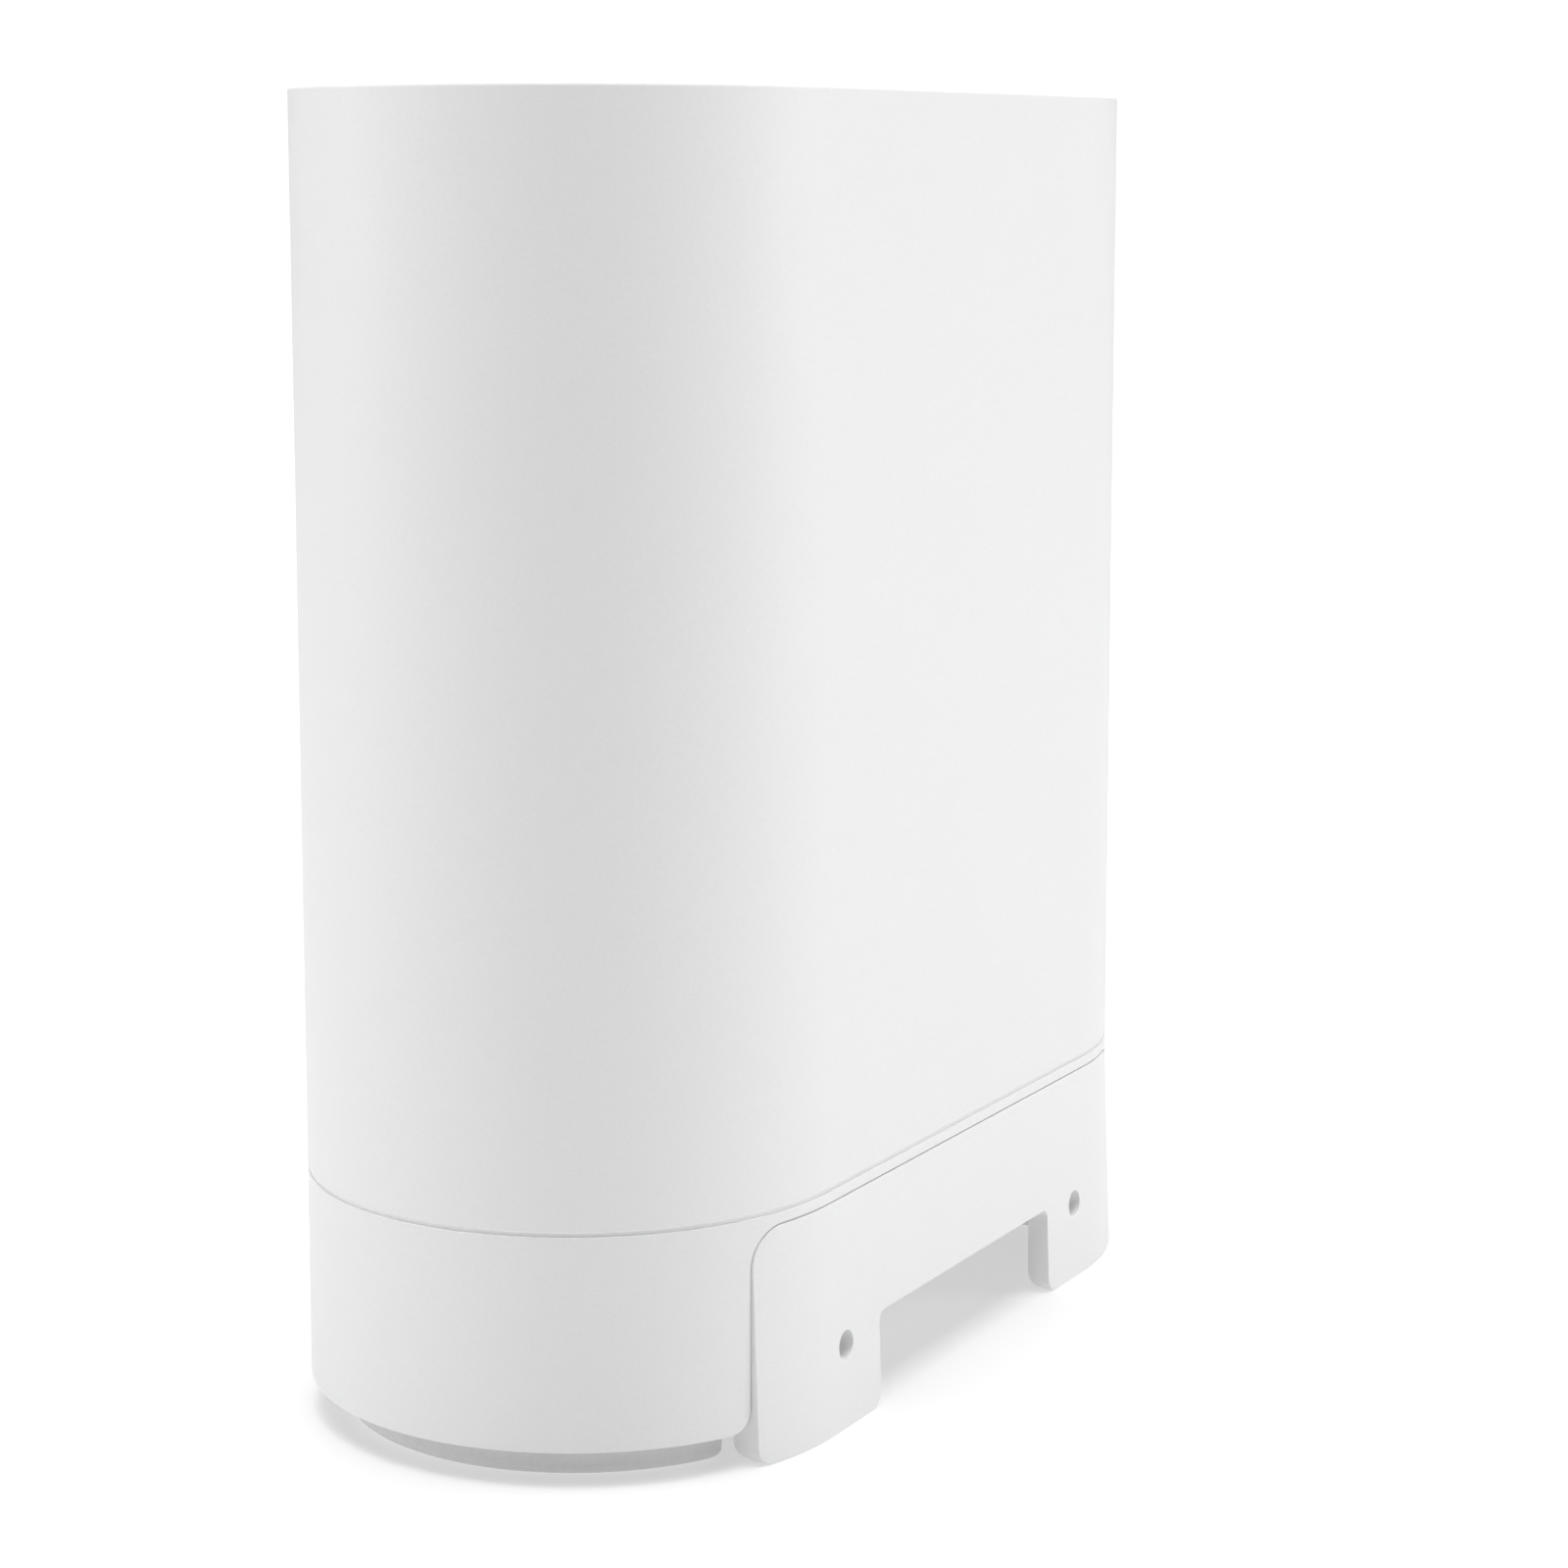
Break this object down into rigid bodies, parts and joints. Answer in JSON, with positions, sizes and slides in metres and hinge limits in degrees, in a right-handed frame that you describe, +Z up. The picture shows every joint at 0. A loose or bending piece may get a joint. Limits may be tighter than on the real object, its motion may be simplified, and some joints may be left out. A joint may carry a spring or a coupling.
{
  "type": "wireless router",
  "caption": "Tall outdoor wireless router with a stadium-shaped plan, a rear plate with bolt legs and a cable arch, and sockets in an open bay underneath.",
  "frame": {"origin": "centre of the bounding box on the surface that the feet and legs rest on", "axes": "+X along the width, +Y to the rear (mounting plate and cable arch), +Z up"},
  "size_m": [0.21, 0.1014, 0.2365],
  "materials": {
    "casing": "fine spark-eroded matte white",
    "tray": "matte light grey",
    "foot": "matte light grey",
    "cover": "matte white",
    "button": "satin white",
    "dark_button": "matte dark grey",
    "gasket": "matte silicone",
    "screw_steel": "stainless",
    "black_screw": "black oxide",
    "pin_steel": "ground stainless",
    "jack_body": "black",
    "gold_plate": "gold plated",
    "switch": "black",
    "vent": "dark grey",
    "brass": "plain",
    "light_pipe": "frosted, translucent",
    "led": "clear epoxy",
    "circuit_board": "solder mask",
    "ribbon": "flat flexible cable",
    "chassis_sheet": "plain sheet",
    "chip": "epoxy",
    "thermal_pad": "soft pad",
    "heat_sink": "extruded",
    "shield": "tinned",
    "antenna_board": "glass-epoxy with copper",
    "nylon": "nylon",
    "coax": "coax jacket"
  },
  "bodies": {
    "router": {"top_shell": "casing", "lower_skirt": "casing", "rear_mount_plate": "casing", "base_tray": "tray", "foot_left": "foot", "foot_right": "foot", "tray_rim": "tray", "tray_posts": "tray", "mount_plate_lugs": "tray", "hinge_lugs": "tray", "body_gasket": "gasket", "shell_screws": "screw_steel", "foot_screws": "screw_steel", "mount_plate_screws": "screw_steel", "cover_hinge_pin": "pin_steel", "lan_jack": "jack_body", "poe_jack": "jack_body", "jack_contacts": "gold_plate", "tact_switches": "switch", "breather_vent": "vent", "earth_screw": "brass", "status_light_pipe": "light_pipe", "status_led": "led", "port_board": "circuit_board", "port_board_screws": "screw_steel", "board_link": "ribbon", "chassis": "chassis_sheet", "chassis_screws": "black_screw", "main_board": "circuit_board", "main_board_screws": "screw_steel", "system_chip": "chip", "memory_chips": "chip", "thermal_pad": "thermal_pad", "heat_sink": "heat_sink", "heat_sink_screws": "screw_steel", "shield_can_left": "shield", "shield_can_right": "shield", "patch_antenna_1": "antenna_board", "patch_antenna_2": "antenna_board", "patch_antenna_3": "antenna_board", "patch_antenna_4": "antenna_board", "antenna_spacers": "nylon", "antenna_feeds": "gold_plate", "end_antenna_left": "antenna_board", "end_antenna_right": "antenna_board", "antenna_bracket_left": "nylon", "antenna_bracket_right": "nylon", "antenna_leads": "coax"},
    "port_cover": {"port_cover": "cover", "cover_gasket": "gasket"},
    "pair_button": {"pair_button": "button"},
    "reset_button": {"reset_button": "dark_button"}
  },
  "joints": [
    {"name": "cover_hinge", "type": "hinge", "parent": "router", "child": "port_cover", "pos_m": [0, -0.01205, 0.024], "axis": [-1, 0, 0], "range_deg": [0, 95]},
    {"name": "pair_press", "type": "slide", "parent": "router", "child": "pair_button", "axis": [0, 0, 1], "range_m": [0, 0.001], "stiffness_N_per_m": 400, "springref_m": -0.002},
    {"name": "reset_press", "type": "slide", "parent": "router", "child": "reset_button", "axis": [0, 0, 1], "range_m": [0, 0.0006], "stiffness_N_per_m": 400, "springref_m": -0.002}
  ]
}
